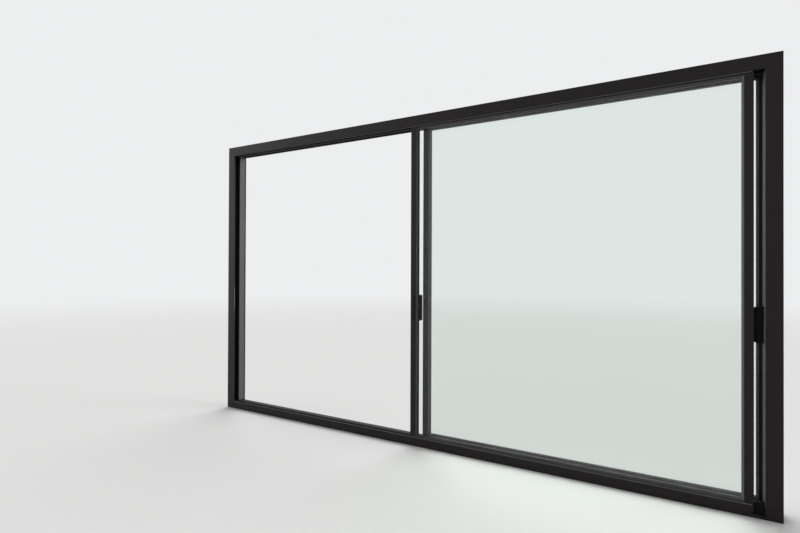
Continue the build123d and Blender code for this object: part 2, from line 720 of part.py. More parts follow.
def thermal_bars(leaf):
    """Polyamide bars that join the two aluminium halves of each stile and rail."""
    y0, y1 = leaf.y - half_t + SHELL, leaf.y + half_t - SHELL
    with BuildPart() as bars:
        for u0 in (BAR_SET, BOX - LEAF_BAR):
            u1 = u0 + LEAF_BAR
            block(leaf.x0 + u0, leaf.x0 + u1, y0, y1, RAIL_TOP + CLEAR, leaf_top)
            block(leaf.x1 - u1, leaf.x1 - u0, y0, y1, RAIL_TOP + CLEAR, leaf_top)
            block(leaf.x0 + BOX + SEAT, leaf.x1 - BOX - SEAT, y0, y1, leaf_top - u1, leaf_top - u0)
        for u0 in (BOX - ROLLER_ROOM, BOX - LEAF_BAR):
            z0 = LEAF_BOTTOM + u0
            block(leaf.x0 + BOX + SEAT, leaf.x1 - BOX - SEAT, y0, y1, z0, z0 + LEAF_BAR)
    write(bars.part, f"{leaf.name}_thermal_bars")


def rollers(leaf):
    """Two carriages in the bottom rail, each with two grooved wheels on the stainless track."""
    middles = (leaf.x0 + CARRIAGE_INSET, leaf.x1 - CARRIAGE_INSET)
    half = CARRIAGE_WIDTH / 2
    inside = half - CARRIAGE_PLATE
    foot = axle_z - CARRIAGE_DROP
    top = LEAF_BOTTOM + BOX - ROLLER_ROOM
    channel = [
        (leaf.y - half, foot),
        (leaf.y - half, top),
        (leaf.y + half, top),
        (leaf.y + half, foot),
        (leaf.y + inside, foot),
        (leaf.y + inside, top - CARRIAGE_PLATE),
        (leaf.y - inside, top - CARRIAGE_PLATE),
        (leaf.y - inside, foot),
    ]
    with BuildPart() as carriages:
        for x in middles:
            with BuildSketch(Plane.YZ.offset(x - CARRIAGE_LENGTH / 2)):
                profile(channel, [])
            extrude(amount=CARRIAGE_LENGTH)
            for dx in (-WHEEL_BASE / 2, WHEEL_BASE / 2):
                with Locations(Plane((x + dx, leaf.y, axle_z), z_dir=(0, 1, 0))):
                    Cylinder(AXLE_R, CARRIAGE_WIDTH)
    write(carriages.part, f"{leaf.name}_roller_carriages")
    half_tread = RAIL_WIDTH / 2 + TREAD_AIR
    bore = AXLE_R + AXLE_FIT
    with BuildPart() as wheels:
        for x in middles:
            for dx in (-WHEEL_BASE / 2, WHEEL_BASE / 2):
                with BuildSketch(Plane((x + dx, leaf.y, axle_z), x_dir=(0, 1, 0), z_dir=(1, 0, 0))):
                    Polygon(
                        (-WHEEL_WIDTH / 2, bore),
                        (WHEEL_WIDTH / 2, bore),
                        (WHEEL_WIDTH / 2, WHEEL_FLANGE_R),
                        (half_tread, WHEEL_TREAD_R),
                        (-half_tread, WHEEL_TREAD_R),
                        (-WHEEL_WIDTH / 2, WHEEL_FLANGE_R),
                        align=None,
                    )
                revolve(axis=Axis((x + dx, leaf.y, axle_z), (0, 1, 0)))
    write(wheels.part, f"{leaf.name}_rollers")


def guides(leaf):
    """Nylon blocks on top of the leaf, which keep it from being lifted off its track."""
    with BuildPart() as made:
        for x in (leaf.x0 + CARRIAGE_INSET, leaf.x1 - CARRIAGE_INSET):
            with BuildSketch(Plane.XY.offset(leaf_top)) as plan:
                with Locations((x, leaf.y)):
                    Rectangle(GUARD_LENGTH, LEAF_THICK - 2 * GUARD_INSET)
                chamfer(plan.vertices(), GUARD_CORNER)
            extrude(amount=LEAF_TOP_GAP - GUARD_AIR)
    write(made.part, f"{leaf.name}_lift_guards")


def faceplate(leaf):
    """Lock faceplate in the groove of the lock stile's edge."""
    side = leaf.lock_side
    edge = leaf.edge(side)
    width = LEAF_THICK - 2 * SHELL - 2 * SEAT
    with BuildPart() as made:
        seat = (edge - side * BAR_SET, leaf.y, PULL_MIDDLE_Z)
        with BuildSketch(Plane(seat, x_dir=(0, 0, 1), z_dir=(side, 0, 0))):
            SlotOverall(FACEPLATE_HEIGHT, width)
            with Locations((-LATCH_OFFSET, 0), (LATCH_OFFSET, 0)):
                Rectangle(*FACEPLATE_SLOT, mode=Mode.SUBTRACT)
            with Locations((-SCREW_OFFSET, 0), (SCREW_OFFSET, 0)):
                Circle(SCREW_HOLE_R, mode=Mode.SUBTRACT)
        extrude(amount=FACEPLATE_THICK)
    write(made.part, f"{leaf.name}_lock_faceplate")


def bow_pull(leaf, foot, bridge, grip, grip_depth, name):
    """Bow pull on the side that faces the other leaf: plate, three bridges and an upright grip.

    foot, bridge and grip are (near, far) distances from the leaf's shutting edge.
    """
    side = leaf.lock_side
    away = -leaf.far
    face_v = away * half_t
    plate_v = face_v + away * PULL_PLATE
    grip_v = face_v + away * (PULL_STAND - grip_depth)
    tip_v = face_v + away * PULL_STAND
    bridges = (
        pull_low,
        pull_high - PULL_HEIGHT / 4 - PULL_BRIDGE / 2,
        pull_high - PULL_BRIDGE,
    )
    with BuildPart() as made:
        with BuildSketch(Plane.XY.offset(pull_low)):
            profile([upright(leaf, side, u, v) for u, v in rectangle(*foot, face_v, plate_v)], [])
        extrude(amount=PULL_HEIGHT)
        with BuildSketch(Plane.XY.offset(pull_low)):
            section = eased(*grip, grip_v, tip_v, GRIP_BEVEL)
            profile([upright(leaf, side, u, v) for u, v in section], [])
        extrude(amount=PULL_HEIGHT)
        for z in bridges:
            with BuildSketch(Plane.XY.offset(z)):
                profile([upright(leaf, side, u, v) for u, v in rectangle(*bridge, plate_v, grip_v)], [])
            extrude(amount=PULL_BRIDGE)
    write(made.part, name)


def flush_pull(leaf, name):
    """Cup sunk into the far face, with a flat rim on it."""
    plane = leaf.flush_plane()
    with BuildPart() as made:
        with BuildSketch(plane):
            SlotOverall(PULL_HEIGHT, FLUSH_WIDTH)
        extrude(amount=FLUSH_PLATE)
        with BuildSketch(plane):
            SlotOverall(*flush_cup)
        extrude(amount=-FLUSH_CUP_DEPTH)
        with BuildSketch(plane.offset(FLUSH_PLATE)):
            SlotOverall(flush_cup[0] - 2 * FLUSH_WALL, flush_cup[1] - 2 * FLUSH_WALL)
        extrude(amount=FLUSH_WALL - FLUSH_PLATE - FLUSH_CUP_DEPTH, mode=Mode.SUBTRACT)
    write(made.part, name)


for leaf in (inner, outer):
    stile(leaf, leaf.lock_side, f"{leaf.name}_lock_stile")
    stile(leaf, -leaf.lock_side, f"{leaf.name}_interlock_stile")
    rail(leaf, LEAF_BOTTOM, 1, f"{leaf.name}_bottom_rail")
    rail(leaf, leaf_top, -1, f"{leaf.name}_top_rail")
    glazing(leaf)
    thermal_bars(leaf)
    rollers(leaf)
    guides(leaf)
    faceplate(leaf)

out_near = JAMB_BITE + OUT_FOOT_SET
out_foot = (out_near, out_near + OUT_FOOT_WIDTH)
bow_pull(
    inner,
    out_foot,
    out_foot,
    (out_near, out_near + OUT_GRIP_WIDTH),
    OUT_GRIP_DEPTH,
    "leaf_inner_pull_outdoor",
)
room_near = JAMB_BITE + ROOM_FOOT_SET
room_foot_end = room_near + ROOM_FOOT_WIDTH
bow_pull(
    outer,
    (room_near, room_foot_end),
    (room_foot_end - ROOM_BRIDGE_WIDTH, room_foot_end),
    (room_near, room_near + ROOM_GRIP_WIDTH),
    ROOM_GRIP_DEPTH,
    "leaf_outer_pull_room",
)
flush_pull(inner, "leaf_inner_pull_room")
flush_pull(outer, "leaf_outer_pull_outdoor")
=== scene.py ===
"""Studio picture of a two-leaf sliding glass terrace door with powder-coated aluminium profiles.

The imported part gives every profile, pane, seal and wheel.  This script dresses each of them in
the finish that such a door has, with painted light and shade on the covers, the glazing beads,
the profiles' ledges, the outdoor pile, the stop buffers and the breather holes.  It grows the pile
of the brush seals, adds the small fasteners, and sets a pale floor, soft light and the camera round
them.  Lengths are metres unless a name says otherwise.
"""

from __future__ import annotations

import logging
import math
from dataclasses import dataclass, field, replace
from enum import Enum
from typing import Any, ClassVar

import bmesh
import bpy
from mathutils import Matrix, Vector


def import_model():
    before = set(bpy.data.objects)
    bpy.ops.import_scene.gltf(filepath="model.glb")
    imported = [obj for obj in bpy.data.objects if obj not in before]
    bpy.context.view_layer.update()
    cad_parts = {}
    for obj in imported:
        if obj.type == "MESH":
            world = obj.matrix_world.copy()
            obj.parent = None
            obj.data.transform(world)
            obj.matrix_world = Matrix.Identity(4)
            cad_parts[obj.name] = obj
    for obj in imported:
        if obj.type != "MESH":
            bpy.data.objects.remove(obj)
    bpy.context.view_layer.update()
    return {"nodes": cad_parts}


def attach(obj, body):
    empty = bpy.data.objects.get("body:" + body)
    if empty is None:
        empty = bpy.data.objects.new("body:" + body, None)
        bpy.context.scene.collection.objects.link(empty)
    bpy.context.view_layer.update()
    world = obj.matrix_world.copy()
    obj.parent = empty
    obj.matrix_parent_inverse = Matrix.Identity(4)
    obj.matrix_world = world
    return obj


LOG = logging.getLogger("terrace_door")
MM = 0.001
WELD = 0.01 * MM  # points of a grown shape that are nearer than this become one
SAME = 0.001 * MM  # corners of packed faces that are nearer than this are one corner
UP, DOWN = Vector((0, 0, 1)), Vector((0, 0, -1))
RIGHT, LEFT = Vector((1, 0, 0)), Vector((-1, 0, 0))
OUTDOORS, ROOMWARDS = Vector((0, 1, 0)), Vector((0, -1, 0))

Inputs = dict[Any, Any]


def linear(hex_colour: str) -> tuple[float, float, float, float]:
    """Turns an sRGB hex colour into a linear colour.

    Args:
        hex_colour: Six hex digits after a hash sign.

    Returns:
        Linear red, green and blue, and an alpha of 1.
    """
    channels = [int(hex_colour[i : i + 2], 16) / 255 for i in (1, 3, 5)]
    red, green, blue = (
        c / 12.92 if c <= 0.04045 else ((c + 0.055) / 1.055) ** 2.4 for c in channels
    )
    return red, green, blue, 1.0


def per_metre(size_mm: float) -> float:
    """Scale of a texture node whose features are size_mm apart."""
    return 1 / (size_mm * MM)


def add_node(tree: bpy.types.NodeTree, kind: str, inputs: Inputs | None = None, **settings: Any):
    """Adds a node to a tree.

    Args:
        tree: The shader or geometry tree.
        kind: The node's type.
        inputs: A value or an output to link, for each input's name or number.
        **settings: Properties of the node, set before its inputs.

    Returns:
        The new node.
    """
    made = tree.nodes.new(kind)
    for name, value in settings.items():
        setattr(made, name, value)
    for key, value in (inputs or {}).items():
        if isinstance(value, bpy.types.NodeSocket):
            tree.links.new(value, made.inputs[key])
        else:
            made.inputs[key].default_value = value
    return made


MIX_FACTOR, MIX_A, MIX_B, MIX_RESULT = 0, 6, 7, 2  # sockets of a Mix node that mixes colours


def noise(
    tree: bpy.types.NodeTree, place: bpy.types.NodeSocket, scale: float, detail: float
) -> bpy.types.NodeSocket:
    """Adds a noise pattern.

    Args:
        tree: The material's tree.
        place: Output that gives the coordinates.
        scale: The pattern's scale.
        detail: How many finer layers it has.

    Returns:
        The pattern's output, from 0 to 1.
    """
    inputs = {"Vector": place, "Scale": scale, "Detail": detail}
    return add_node(tree, "ShaderNodeTexNoise", inputs).outputs["Fac"]


def blend(
    tree: bpy.types.NodeTree, share: bpy.types.NodeSocket, first: Any, second: Any
) -> bpy.types.NodeSocket:
    """Adds a mix of two colours.

    Args:
        tree: The material's tree.
        share: Output that gives the second colour's share.
        first: The first colour, or an output.
        second: The second colour.

    Returns:
        The mixed colour's output.
    """
    inputs = {MIX_FACTOR: share, MIX_A: first, MIX_B: second}
    return add_node(tree, "ShaderNodeMix", inputs, data_type="RGBA").outputs[MIX_RESULT]


@dataclass(frozen=True)
class Finish:
    """A finish, built once as a node material and then shared."""

    name: str

    def material(self) -> bpy.types.Material:
        """The finish's material, built on first use."""
        return bpy.data.materials.get(self.name) or self.build()

    def begin(self):
        """Starts the node material.

        Returns:
            The material, its tree, the Object coordinates and the Principled node.
        """
        material = bpy.data.materials.new(self.name)
        material.use_nodes = True
        tree = material.node_tree
        tree.nodes.clear()
        coordinates = add_node(tree, "ShaderNodeTexCoord").outputs["Object"]
        surface = add_node(tree, "ShaderNodeBsdfPrincipled")
        add_node(tree, "ShaderNodeOutputMaterial", {"Surface": surface.outputs["BSDF"]})
        return material, tree, coordinates, surface

    def build(self) -> bpy.types.Material:
        """Builds the node material."""
        raise NotImplementedError


@dataclass(frozen=True)
class Skin(Finish):
    """A finish whose gloss and relief follow one fine pattern."""

    roughness: float = 0.5
    depth_mm: float = 0.02
    sheen: float = 0.5

    BELOW: ClassVar[float]  # how far the roughness goes down from its middle
    ABOVE: ClassVar[float]  # how far it goes up
    RELIEF: ClassVar[float] = 0.5  # strength of the relief

    def lay(
        self, surface: bpy.types.Node, colour: bpy.types.NodeSocket, pattern: bpy.types.NodeSocket
    ) -> None:
        """Gives a surface its colour, and a gloss and relief made from the pattern.

        Args:
            surface: The Principled node.
            colour: The colour's output.
            pattern: The pattern's output.
        """
        tree = surface.id_data
        gloss = add_node(
            tree,
            "ShaderNodeMapRange",
            {
                "Value": pattern,
                "To Min": self.roughness - self.BELOW,
                "To Max": self.roughness + self.ABOVE,
            },
        )
        bump = add_node(
            tree,
            "ShaderNodeBump",
            {"Height": pattern, "Distance": self.depth_mm * MM, "Strength": self.RELIEF},
        )
        tree.links.new(colour, surface.inputs["Base Color"])
        tree.links.new(gloss.outputs["Result"], surface.inputs["Roughness"])
        tree.links.new(bump.outputs["Normal"], surface.inputs["Normal"])
        surface.inputs["Specular IOR Level"].default_value = self.sheen


@dataclass(frozen=True)
class PowderCoat(Skin):
    """Polyester powder coat, cured on extruded aluminium.

    It flows out to a fine even grain with a dull satin gloss.  Its upward faces take a second tone:
    dust on the covers and flush pull, dust and painted light on the profiles, painted shade on the beads.
    """

    colour: str = "#292526"
    cloud: str = "#302B2C"
    # Tone of the upward faces: dust, with painted light on the profiles' ledges and painted shade on the
    # beads.
    dust_and_painted_light: str = "#6E6B67"
    roughness: float = 0.46
    grain_mm: float = 1.6  # the real grain is near 0.3 mm: drawn coarser so that it shows
    cloud_mm: float = 260.0
    depth_mm: float = 0.03
    dust_and_painted_light_share: float = 0.65  # its share, to be multiplied by the clouds' level of about a half
    sheen: float = 0.15
    # The tilt also starts the painted light and painted shade of the upward faces.
    ledge_tilt: float = 0.6  # upward part of a face's normal at which dust begins to lie

    BELOW: ClassVar[float] = 0.05
    ABOVE: ClassVar[float] = 0.07
    RELIEF: ClassVar[float] = 0.6
    CLOUD_DETAIL: ClassVar[float] = 3.0
    GRAIN_DETAIL: ClassVar[float] = 2.0

    def build(self) -> bpy.types.Material:
        """Builds the powder coat.

        Returns:
            The material.
        """
        material, tree, coordinates, surface = self.begin()
        clouds = noise(tree, coordinates, per_metre(self.cloud_mm), self.CLOUD_DETAIL)
        grain = noise(tree, coordinates, per_metre(self.grain_mm), self.GRAIN_DETAIL)
        tone = blend(tree, clouds, linear(self.colour), linear(self.cloud))
        normal = add_node(tree, "ShaderNodeNewGeometry").outputs["Normal"]
        facing = add_node(tree, "ShaderNodeSeparateXYZ", {0: normal})
        # Painted light and shade: the upward faces take the dust-and-painted-light tone, by how far they
        # face up.
        ledge = add_node(
            tree,
            "ShaderNodeMapRange",
            {
                "Value": facing.outputs["Z"],
                "From Min": self.ledge_tilt,
                "From Max": 1.0,
                "To Max": self.dust_and_painted_light_share,
            },
        )
        dust_and_painted_light_patches = add_node(
            tree,
            "ShaderNodeMath",
            {0: ledge.outputs["Result"], 1: clouds},
            operation="MULTIPLY",
        )
        dusty_and_painted = blend(tree, dust_and_painted_light_patches.outputs["Value"], tone, linear(self.dust_and_painted_light))
        self.lay(surface, dusty_and_painted, grain)
        return material


@dataclass(frozen=True)
class DrawnMetal(Skin):
    """Metal that was rolled, drawn or brushed along one axis, so that fine lines run that way."""

    colour: str = "#C6C4C0"
    line: str = "#A9A7A3"
    metallic: float = 1.0
    roughness: float = 0.28
    along: Vector = field(default_factory=lambda: RIGHT)
    line_mm: float = 0.9  # brushed lines are under 0.1 mm apart: drawn coarser so that they show
    run_mm: float = 120.0
    depth_mm: float = 0.01
    sheen: float = 0.5

    BELOW: ClassVar[float] = 0.06
    ABOVE: ClassVar[float] = 0.1
    LINE_DETAIL: ClassVar[float] = 4.0

    def build(self) -> bpy.types.Material:
        """Builds the drawn metal.

        Returns:
            The material.
        """
        material, tree, coordinates, surface = self.begin()
        scale = [per_metre(self.run_mm if part else self.line_mm) for part in self.along]
        stretched = add_node(tree, "ShaderNodeMapping", {"Vector": coordinates, "Scale": scale})
        lines = noise(tree, stretched.outputs["Vector"], 1.0, self.LINE_DETAIL)
        tone = blend(tree, lines, linear(self.colour), linear(self.line))
        self.lay(surface, tone, lines)
        surface.inputs["Metallic"].default_value = self.metallic
        return material


@dataclass(frozen=True)
class Moulded(Skin):
    """Polyamide or rubber with the soft, slightly uneven skin that a mould or a die leaves."""

    colour: str = "#1B1B1C"
    fleck: str = "#262627"
    roughness: float = 0.6
    grain_mm: float = 2.2
    depth_mm: float = 0.02
    sheen: float = 0.2

    BELOW: ClassVar[float] = 0.08
    ABOVE: ClassVar[float] = 0.08
    GRAIN_DETAIL: ClassVar[float] = 3.0

    def build(self) -> bpy.types.Material:
        """Builds the moulded skin.

        Returns:
            The material.
        """
        material, tree, coordinates, surface = self.begin()
        grain = noise(tree, coordinates, per_metre(self.grain_mm), self.GRAIN_DETAIL)
        tone = blend(tree, grain, linear(self.colour), linear(self.fleck))
        self.lay(surface, tone, grain)
        return material


@dataclass(frozen=True)
class FloatGlass(Finish):
    """Clear float glass: flat, polished on both faces and faintly green."""

    tint: str = "#FBFDFC"
    shadow: str = "#FDFEFD"
    ior: float = 1.2  # real glass has 1.52, which threw too strong a picture of the stiles
    film_mm: float = 180.0
    film_start: float = 0.55
    film_roughness: float = 0.012

    FILM_DETAIL: ClassVar[float] = 5.0

    def build(self) -> bpy.types.Material:
        """Builds the glass, which lets the lamps' light through.

        Returns:
            The material.
        """
        material, tree, coordinates, surface = self.begin()
        surface.inputs["Base Color"].default_value = linear(self.tint)
        surface.inputs["Transmission Weight"].default_value = 1.0
        surface.inputs["IOR"].default_value = self.ior
        film = noise(tree, coordinates, per_metre(self.film_mm), self.FILM_DETAIL)
        gloss = add_node(
            tree,
            "ShaderNodeMapRange",
            {
                "Value": film,
                "From Min": self.film_start,
                "To Min": 0.0,
                "To Max": self.film_roughness,
            },
        )
        tree.links.new(gloss.outputs["Result"], surface.inputs["Roughness"])
        clear = add_node(tree, "ShaderNodeBsdfTransparent", {"Color": linear(self.shadow)})
        light = add_node(
            tree,
            "ShaderNodeMixShader",
            {
                0: add_node(tree, "ShaderNodeLightPath").outputs["Is Shadow Ray"],
                1: surface.outputs["BSDF"],
                2: clear.outputs["BSDF"],
            },
        )
        output = next(n for n in tree.nodes if n.type == "OUTPUT_MATERIAL")
        tree.links.new(light.outputs["Shader"], output.inputs["Surface"])
        return material


class Palette(Enum):
    """The finishes of this door."""

    # Near-black, matt and finely grained, with grey dust on what faces up; the grey on the ledges is also
    # painted light, where light catches them.
    PROFILES = PowderCoat("fine_grain_powder_coat_anthracite")
    # Painted light: the clip-in covers get a lighter grey copy of the coat, which stands in for the
    # outdoor light on these reveals, so that they stand out as pale upright lines.
    COVERS = PowderCoat(
        "fine_grain_powder_coat_painted_light_grey",
        colour="#6A6A6C",
        cloud="#747476",
        dust_and_painted_light="#8A8783",
        roughness=0.42,
    )
    # Painted light and shade: a lighter copy of the coat, a step between the two, which stands in for the
    # light that catches the beads, so that they show as a thin border round the panes. A dark painted
    # shade lies on every face that looks up, which draws the lower bead darker than the rest.
    BEADS = PowderCoat(
        "fine_grain_powder_coat_beads_painted_light_and_shade",
        colour="#5C5A5B",
        cloud="#646263",
        dust_and_painted_light="#2E2C2B",
        roughness=0.42,
        dust_and_painted_light_share=2.0,
        ledge_tilt=0.05,
    )
    # All but black, with fine upright lines and hardly any gleam.
    PULLS = DrawnMetal(
        "black_anodised_aluminium",
        colour="#050506",
        line="#0A0A0B",
        metallic=0.0,
        roughness=0.42,
        along=UP,
        sheen=0.08,
    )
    # A dull dark grey, a little lighter than the stile round it.
    FLUSH = PowderCoat(
        "fine_grain_powder_coat_flush_pull",
        colour="#373334",
        cloud="#3E3A3B",
        dust_and_painted_light="#4A4744",
        roughness=0.5,
    )
    # Dark half-gloss metal at the glass unit's edge.
    SPACERS = DrawnMetal(
        "black_anodised_spacer_aluminium",
        colour="#2A2A2C",
        line="#343436",
        metallic=0.6,
        roughness=0.4,
    )
    # Bright metal with lines along the track.
    STAINLESS = DrawnMetal("brushed_stainless_steel")
    # The same steel with upright lines, on the lock's plates.
    STRIKE = DrawnMetal("brushed_stainless_steel_upright", roughness=0.3, along=UP)
    # Dull black plastic with a soft skin.
    POLYAMIDE = Moulded("glass_filled_polyamide_black")
    # Deep black, which reads as a shadow line round each pane.
    RUBBER = Moulded(
        "extruded_epdm_rubber",
        colour="#0C0C0D",
        fleck="#131314",
        grain_mm=4.0,
        depth_mm=0.01,
        sheen=0.12,
    )
    # Matt mid-grey fibres on the room's side.
    PILE = Moulded(
        "woven_polypropylene_pile",
        colour="#626265",
        fleck="#77777A",
        roughness=0.85,
        grain_mm=0.8,
    )
    # Matt dark fibres on the outdoor side: drawn darker than the room's pile as painted shade for the deep
    # outer channels.
    DARK_PILE = Moulded(
        "woven_polypropylene_pile_dark_painted_shade",
        colour="#232324",
        fleck="#313133",
        roughness=0.85,
        grain_mm=0.8,
    )
    # Clear, with a faint green and soft reflections.
    GLASS = FloatGlass("clear_float_glass")


FACING = "facing"  # name of the point attribute that says which way a small piece points
EDGE_STEPS = 3  # faces across a rounded edge


@dataclass(frozen=True)
class Box:
    """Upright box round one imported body."""

    low: Vector
    high: Vector

    @property
    def middle(self) -> Vector:
        """The box's middle."""
        return (self.low + self.high) / 2

    @property
    def size(self) -> Vector:
        """The box's lengths along the three axes."""
        return self.high - self.low

    def face(self, towards: Vector) -> Vector:
        """Middle of the side that looks towards a direction along one axis."""
        half = self.size / 2
        return self.middle + Vector(step * reach for step, reach in zip(towards, half))


@dataclass(frozen=True)
class Run:
    """A straight run of small pieces that all point one way."""

    start: Vector
    end: Vector
    facing: Vector


def bodies_of(piece: bpy.types.Object) -> list[Box]:
    """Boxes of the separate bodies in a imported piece.

    Args:
        piece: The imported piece.  Its mesh is only read.

    Returns:
        One box for each body, sorted by its low corner.
    """
    shape = bmesh.new()
    shape.from_mesh(piece.data)
    bmesh.ops.remove_doubles(shape, verts=shape.verts, dist=SAME)
    left = set(shape.verts)
    boxes = []
    while left:
        front = [left.pop()]
        body = list(front)
        while front:
            near = {edge.other_vert(vert) for vert in front for edge in vert.link_edges} & left
            left -= near
            body.extend(near)
            front = list(near)
        corners = [vert.co for vert in body]
        low = Vector(min(c[axis] for c in corners) for axis in range(3))
        high = Vector(max(c[axis] for c in corners) for axis in range(3))
        boxes.append(Box(low, high))
    shape.free()
    return sorted(boxes, key=lambda box: tuple(box.low))


def inner_run(bar: Box, centre: Vector, inset: float) -> Run:
    """The run along that side of an upright or level bar which looks towards a centre.

    Args:
        bar: The bar's box.
        centre: The centre.
        inset: How far the run stops short of the bar's ends.

    Returns:
        The run, facing the centre.
    """
    upright = bar.size.z > bar.size.x
    if upright:
        inward = RIGHT if bar.middle.x < centre.x else LEFT
    else:
        inward = UP if bar.middle.z < centre.z else DOWN
    half = (UP if upright else RIGHT) * (max(bar.size) / 2 - inset)
    side = bar.face(inward)
    return Run(side - half, side + half, inward)


def rounded_block(name: str, box: Box, radius: float) -> bpy.types.Mesh:
    """A block with rounded edges.

    Args:
        name: The mesh's name.
        box: The block's outside.
        radius: Radius of its edges.

    Returns:
        The mesh.
    """
    mesh = bpy.data.meshes.new(name)
    shape = bmesh.new()
    bmesh.ops.create_cube(shape, size=1.0)
    for vert in shape.verts:
        vert.co = box.middle + Vector(share * length for share, length in zip(vert.co, box.size))
    bmesh.ops.bevel(shape, geom=list(shape.edges), offset=radius, segments=EDGE_STEPS, affect="EDGES")
    shape.to_mesh(mesh)
    shape.free()
    return mesh


def base_mesh(name: str, points: list[Vector], facings: list[Vector], joined: bool) -> bpy.types.Mesh:
    """Bare points, or point pairs joined by an edge, that a geometry tree grows pieces on.

    Args:
        name: The mesh's name.
        points: The points.
        facings: Which way a piece at each point looks.
        joined: Whether each pair of points is the start and end of a run.

    Returns:
        The mesh.
    """
    mesh = bpy.data.meshes.new(name)
    edges = [(i, i + 1) for i in range(0, len(points), 2)] if joined else []
    mesh.from_pydata(points, edges, [])
    facing = mesh.attributes.new(FACING, "FLOAT_VECTOR", "POINT")
    facing.data.foreach_set("vector", [part for way in facings for part in way])
    return mesh


@dataclass(frozen=True)
class Growth:
    """A geometry tree that repeats a small shape on points or along runs.

    The sizes are the tree's named inputs, in metres.
    """

    name: str
    finish: Palette
    slot: str

    def sizes(self) -> dict[str, float]:
        """The tree's named sizes."""
        raise NotImplementedError

    def shape(self, tree: bpy.types.NodeTree, size: Any) -> bpy.types.NodeSocket:
        """Adds the nodes of the small shape, which stands on the origin and looks up.

        Args:
            tree: The geometry tree.
            size: Output sockets of the Group Input node.

        Returns:
            The shape's output.
        """
        raise NotImplementedError

    def places(self, tree: bpy.types.NodeTree, size: Any) -> bpy.types.NodeSocket:
        """The points that the shape is set on: those of the base mesh."""
        return size["Geometry"]

    def turn(self, tree: bpy.types.NodeTree) -> bpy.types.NodeSocket:
        """Adds the nodes that turn each shape to the way its point looks."""
        way = add_node(tree, "GeometryNodeInputNamedAttribute", {"Name": FACING}, data_type="FLOAT_VECTOR")
        aligned = add_node(
            tree, "FunctionNodeAlignRotationToVector", {"Vector": way.outputs[0]}, axis="Z"
        )
        return aligned.outputs["Rotation"]

    def bodies(self, tree: bpy.types.NodeTree, size: Any) -> bpy.types.NodeSocket:
        """Adds the nodes that set the shape on every place.

        Args:
            tree: The geometry tree.
            size: Output sockets of the Group Input node.

        Returns:
            The instances.
        """
        instances = add_node(
            tree,
            "GeometryNodeInstanceOnPoints",
            {
                "Points": self.places(tree, size),
                "Instance": self.shape(tree, size),
                "Rotation": self.turn(tree),
            },
        )
        return instances.outputs["Instances"]

    def tree(self) -> bpy.types.NodeTree:
        """Builds the geometry tree.

        Returns:
            The tree, which ends in real faces with the finish's material.
        """
        tree = bpy.data.node_groups.new(self.name, "GeometryNodeTree")
        face = tree.interface
        face.new_socket("Geometry", in_out="INPUT", socket_type="NodeSocketGeometry")
        for size_name in self.sizes():
            face.new_socket(size_name, in_out="INPUT", socket_type="NodeSocketFloat")
        face.new_socket("Finish", in_out="INPUT", socket_type="NodeSocketMaterial")
        face.new_socket("Geometry", in_out="OUTPUT", socket_type="NodeSocketGeometry")
        size = add_node(tree, "NodeGroupInput").outputs
        real = add_node(tree, "GeometryNodeRealizeInstances", {"Geometry": self.bodies(tree, size)})
        coated = add_node(
            tree,
            "GeometryNodeSetMaterial",
            {"Geometry": real.outputs["Geometry"], "Material": size["Finish"]},
        )
        add_node(tree, "NodeGroupOutput", {0: coated.outputs["Geometry"]})
        return tree

    def grow(self, name: str, base: bpy.types.Mesh, body: str) -> bpy.types.Object:
        """Grows the small shapes on a base mesh as one plain mesh.

        Args:
            name: The new piece's name.
            base: Points or runs.
            body: The body that the piece rides on.

        Returns:
            The new piece.
        """
        tree = bpy.data.node_groups.get(self.name) or self.tree()
        piece = bpy.data.objects.new(name, base)
        bpy.context.scene.collection.objects.link(piece)
        modifier = piece.modifiers.new(self.name, "NODES")
        modifier.node_group = tree
        values = {**self.sizes(), "Finish": self.finish.value.material()}
        for socket in tree.interface.items_tree:
            if socket.in_out == "INPUT" and socket.name in values:
                modifier[socket.identifier] = values[socket.name]
        graph = bpy.context.evaluated_depsgraph_get()
        grown = bpy.data.meshes.new_from_object(piece.evaluated_get(graph), depsgraph=graph)
        piece.modifiers.remove(modifier)
        piece.data = grown
        grown.materials.clear()
        grown.materials.append(self.finish.value.material())
        grown.polygons.foreach_set("material_index", [0] * len(grown.polygons))
        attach(piece, body)
        LOG.info("grew %s: %d faces", name, len(grown.polygons))
        return piece

    def on_points(self, name: str, points: list[Vector], facing: Vector, body: str) -> None:
        """Grows one shape on each point, all looking the same way."""
        self.grow(name, base_mesh(name, points, [facing] * len(points), False), body)

    def on_runs(self, name: str, runs: list[Run], body: str) -> None:
        """Grows shapes along straight runs."""
        points = [point for run in runs for point in (run.start, run.end)]
        facings = [run.facing for run in runs for _ in range(2)]
        self.grow(name, base_mesh(name, points, facings, True), body)


